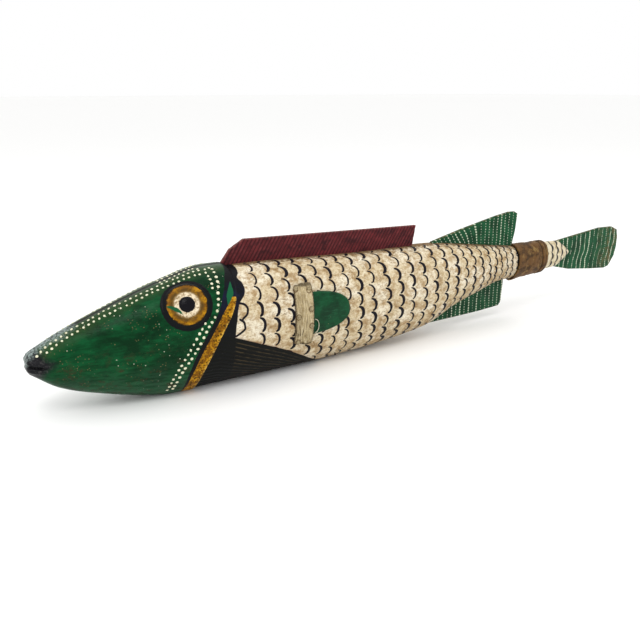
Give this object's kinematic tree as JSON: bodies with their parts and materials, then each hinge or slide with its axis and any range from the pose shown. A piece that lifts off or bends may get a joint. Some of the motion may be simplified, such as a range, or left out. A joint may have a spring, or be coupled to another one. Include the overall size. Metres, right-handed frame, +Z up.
{
  "type": "carved and painted wooden fish",
  "caption": "Long carved fish in painted wood with scale marks, upright fins, two side fins on leather straps and a tail that swings in a leather sleeve.",
  "frame": {"origin": "middle of the bounding box, on the floor that the belly flat rests on", "axes": "+Z up; the snout points to -X and the tail to +X; the left flank faces -Y"},
  "size_m": [0.9, 0.1098, 0.1568],
  "materials": {
    "cream_painted_wood": "worn matt cream paint over carved wood, brown grime, black brushed scale marks; the head is glossy green",
    "red_painted_wood": "matt maroon paint over slanting carved grooves",
    "green_enamel": "glossy green enamel paint on thin board, with cream dotted lines",
    "brown_hide": "old shrunk hide, mottled brown, satin",
    "painted_hide": "leather painted cream, streaked with grime",
    "painted_iron": "iron painted over, rust showing",
    "iron_tack": "rusty iron"
  },
  "bodies": {
    "trunk": {"fish_body": "cream_painted_wood", "dorsal_fin": "red_painted_wood", "rear_dorsal_fin": "green_enamel", "anal_fin": "green_enamel", "tail_sleeve": "brown_hide", "fin_strap_left": "painted_hide", "flank_nail_left_1": "painted_iron", "flank_nail_left_2": "painted_iron", "flank_nail_left_3": "painted_iron", "fin_strap_right": "painted_hide", "flank_nail_right_1": "painted_iron", "flank_nail_right_2": "painted_iron", "flank_nail_right_3": "painted_iron", "neck_tack_side": "iron_tack", "neck_tack_under": "iron_tack", "belly_nail": "iron_tack"},
    "tail": {"tail_stock": "cream_painted_wood", "tail_fin": "green_enamel", "stock_tack_side": "iron_tack", "stock_tack_under": "iron_tack"},
    "left_fin": {"side_fin_left": "green_enamel", "pull_loop_left": "painted_iron", "fin_nail_left_1": "painted_iron", "fin_nail_left_2": "painted_iron", "fin_nail_left_3": "painted_iron"},
    "right_fin": {"side_fin_right": "green_enamel", "pull_loop_right": "painted_iron", "fin_nail_right_1": "painted_iron", "fin_nail_right_2": "painted_iron", "fin_nail_right_3": "painted_iron"}
  },
  "joints": [
    {"name": "tail_swing", "type": "hinge", "parent": "trunk", "child": "tail", "pos_m": [0.246, 0, 0.07818], "axis": [0, 0, 1], "range_deg": [-30, 30], "stiffness_Nm_per_rad": 0.3, "deforming": ["tail_sleeve"]},
    {"name": "left_fin_flap", "type": "hinge", "parent": "trunk", "child": "left_fin", "pos_m": [-0.1605, -0.04968, 0.0726], "axis": [0, 0, -1], "range_deg": [0, 70], "stiffness_Nm_per_rad": 0.02, "deforming": ["fin_strap_left"]},
    {"name": "right_fin_flap", "type": "hinge", "parent": "trunk", "child": "right_fin", "pos_m": [-0.1605, 0.04968, 0.0726], "axis": [0, 0, 1], "range_deg": [0, 70], "stiffness_Nm_per_rad": 0.02, "deforming": ["fin_strap_right"]}
  ]
}
